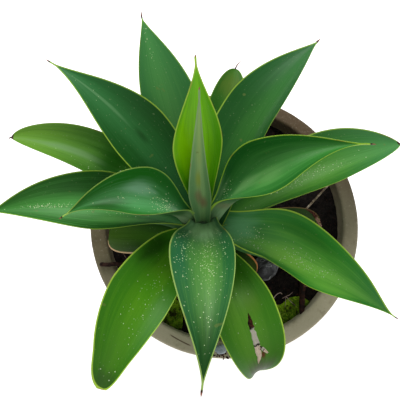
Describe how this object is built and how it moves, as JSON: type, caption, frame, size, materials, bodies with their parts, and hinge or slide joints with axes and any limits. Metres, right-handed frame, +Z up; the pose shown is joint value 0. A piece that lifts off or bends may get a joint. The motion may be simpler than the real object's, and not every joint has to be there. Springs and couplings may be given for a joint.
{
  "type": "potted agave",
  "caption": "Soft-leaved agave rosette on a short leaning stem, rooted in soil in a round tapered stone-coloured pot with a flat-topped rim band.",
  "frame": {"origin": "middle of the pot's flat underside", "axes": "+Z up, +Y towards the far side in the usual view, +X to its right"},
  "size_m": [0.5749, 0.4638, 0.6206],
  "materials": {
    "pot": "weathered cast stone, brownish grey, matt",
    "soil": "dark moist potting soil",
    "stem": "fibrous, ringed with leaf scars",
    "leaf": "smooth waxy leaf, blue-green bloom near the base, pale margin",
    "young_leaf": "smooth waxy young leaf, bright yellow-green",
    "spear": "tightly rolled young leaf with a pale grey-green bloom",
    "moss": "short tufted moss",
    "dark_stone": "dark broken stone",
    "pebble": "pale grey smooth pebble",
    "bark": "dark brown weathered wood",
    "dry_plant": "pale dry twig and dry leaf tissue",
    "water": "clear water drops on the leaves"
  },
  "bodies": {
    "root": {"pot": "pot", "soil": "soil", "stem": "stem", "spear_leaf": "spear", "upright_leaf": "young_leaf", "upper_west_leaf": "leaf", "upper_east_leaf": "leaf", "south_leaf": "leaf", "northwest_leaf": "leaf", "northeast_leaf": "leaf", "southeast_leaf": "leaf", "west_leaf": "leaf", "north_leaf": "leaf", "southwest_leaf": "leaf", "east_leaf": "leaf", "split_leaf": "leaf", "lower_west_leaf": "leaf", "lower_north_leaf": "leaf", "short_west_leaf": "leaf", "short_east_leaf": "leaf", "short_south_leaf": "leaf", "moss_southeast": "moss", "moss_southwest": "moss", "dark_stone": "dark_stone", "pebble": "pebble", "rim_twig": "bark", "leaning_stick": "bark", "pale_twig": "dry_plant"}
  },
  "joints": []
}
